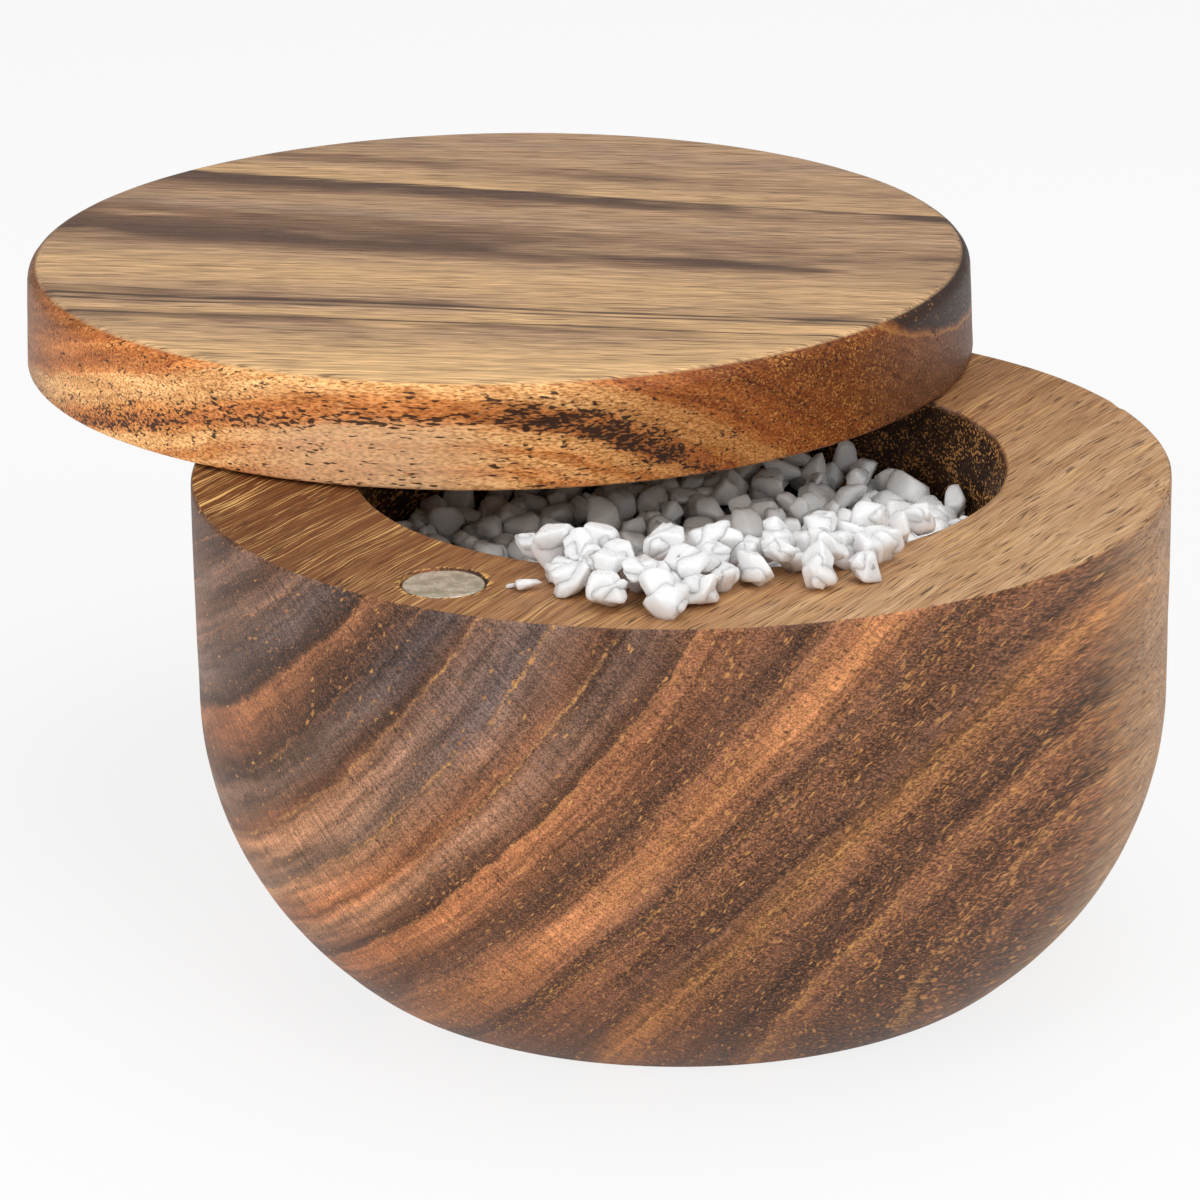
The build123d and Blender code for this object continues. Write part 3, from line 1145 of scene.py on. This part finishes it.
def lay_crystal(crystal, luck, rays, spilt):
    """The points of one crystal, turned at random. A spilt one stands on the rim."""
    x, y, z, size = crystal
    form = crystal_shape(luck, rays)
    lean = [luck.gauss(0, 0.55), luck.gauss(0, 0.55), luck.uniform(0, 2 * math.pi)]
    if size < LARGEST_CHIP:
        lean = [0.0, 0.0, 0.3]
        form = form * (1.0, 0.8, 0.55)
    turn = Euler(lean).to_matrix()
    form = form @ np.array(turn).T * size * 0.95 + np.array((x, y, z))
    low = form[:, 2].min()
    rests = BOWL_HEIGHT + 0.02
    if spilt and math.hypot(x, y) > CAVITY_RADIUS and low < rests + 0.6:
        form[:, 2] += rests - low
    return form


def make_salt(material):
    """Loose crystals in the bowl, and those spilt over the front of its rim.

    A spilt crystal is laid in both pieces, so it is two crystals that stand in each other.
    """
    luck = random.Random(SALT_SEED)
    heap = Heap()
    settled = fill_bowl(heap, luck)
    spilt = spill_over(heap, luck)
    groups = (("salt_heap", settled + spilt, 3), ("salt_spill", spilt + CHIPS, 4))
    for name, crystals, divisions in groups:
        rays, triangles = ball(divisions)
        points, faces = [], []
        for crystal in crystals:
            start = len(points) * len(rays)
            points.append(lay_crystal(crystal, luck, rays, name == "salt_spill"))
            faces += [tuple(start + corner for corner in triangle) for triangle in triangles]
        new_piece(name, np.concatenate(points), faces, material, "bowl", 180.0)


# Stage


def make_floor():
    """A white floor. The camera sees it nearly white, with the object's soft shadow."""
    floor = Finish("floor")
    floor.set("Base Color", tone(246, 246, 246))
    floor.set("Roughness", 0.9)
    ways = floor.node("LightPath").outputs
    mirrored = floor.math("MAXIMUM", ways["Is Glossy Ray"], ways["Is Transmission Ray"])
    seen = floor.times(floor.math("MAXIMUM", ways["Is Camera Ray"], mirrored), FLOOR_GLOW)
    glow = floor.node("Emission")
    blend = floor.node("MixShader", seen, floor.shader.outputs[0], glow.outputs[0])
    floor.links.new(blend.outputs[0], floor.output.inputs["Surface"])
    side = 3000.0
    corners = [(-side, -side, 0), (side, -side, 0), (side, side, 0), (-side, side, 0)]
    piece = mesh_object("floor", corners, [(0, 1, 2, 3)])
    piece.data.materials.append(floor.material)


def make_world():
    """White all round: full white to the camera, and softer as light on the object."""
    world = bpy.data.worlds.new("studio")
    world.use_nodes = True
    sky = Tree(world.node_tree)
    ways = sky.node("LightPath").outputs
    seen = sky.math("MAXIMUM", ways["Is Camera Ray"], ways["Is Transmission Ray"])
    white = (1.0, 1.0, 1.0, 1.0)
    soft = sky.node("Background", white, WORLD_LIGHT)
    bright = sky.node("Background", white, 1.0)
    blend = sky.node("MixShader", seen, soft.outputs[0], bright.outputs[0])
    sky.node("OutputWorld", blend.outputs[0])
    bpy.context.scene.world = world


def softbox(name, place, aim, size, share):
    """A square lamp. share is how bright a white card facing it at the object looks."""
    lamp = bpy.data.lights.new(name, "AREA")
    lamp.size = size * MM
    place, aim = Vector(place) * MM, Vector(aim) * MM
    lamp.energy = share * (math.pi * (place - aim).length) ** 2
    holder = linked(name, lamp)
    holder.location = place
    holder.rotation_euler = (aim - place).to_track_quat("-Z", "Y").to_euler()


def make_camera():
    lens = bpy.data.cameras.new("camera")
    lens.lens = CAMERA_LENS
    lens.sensor_width = 36.0
    lens.clip_start = 0.01
    holder = linked("camera", lens)
    turn = (CAMERA_AIM - CAMERA_PLACE).to_track_quat("-Z", "Y").to_matrix()
    turn = turn @ Matrix.Rotation(CAMERA_ROLL, 3, "Z")
    holder.location = CAMERA_PLACE * MM
    holder.rotation_euler = turn.to_euler()
    bpy.context.scene.camera = holder


make_camera()
bpy.context.scene.view_settings.view_transform = "Standard"
make_world()
softbox("top", (120, 60, 900), (0, 0, 40), 700, 0.44)
softbox("left", (-640, -560, 400), (0, 0, 40), 450, 0.33)
softbox("right", (460, -560, 560), (0, 0, 40), 500, 0.28)
make_floor()

bowl_material = bowl_wood()
lid_material = lid_wood()
magnet_material = plated("magnet", tone(234, 224, 205), 0.42, tone(168, 156, 134))
make_bowl(bowl_material)
make_lid(lid_material)
pocket_floor = BOWL_HEIGHT - MAGNET_POCKET_DEPTH
sink = MAGNET_POCKET_DEPTH - MAGNET_THICKNESS
make_magnet("rim_magnet", "bowl_magnet", CATCH, pocket_floor, "bowl", True, 1.0, magnet_material)
make_magnet(
    "cover_magnet", "lid_magnet", LID_CATCH, LID_FLOOR + sink, "lid", False, 7.0, magnet_material
)
for name, material in (("pivot_pin", turned_steel()), ("pivot_bush", bush_plastic())):
    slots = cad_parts[name].data.materials
    slots.clear()
    slots.append(material)
make_salt(salt())
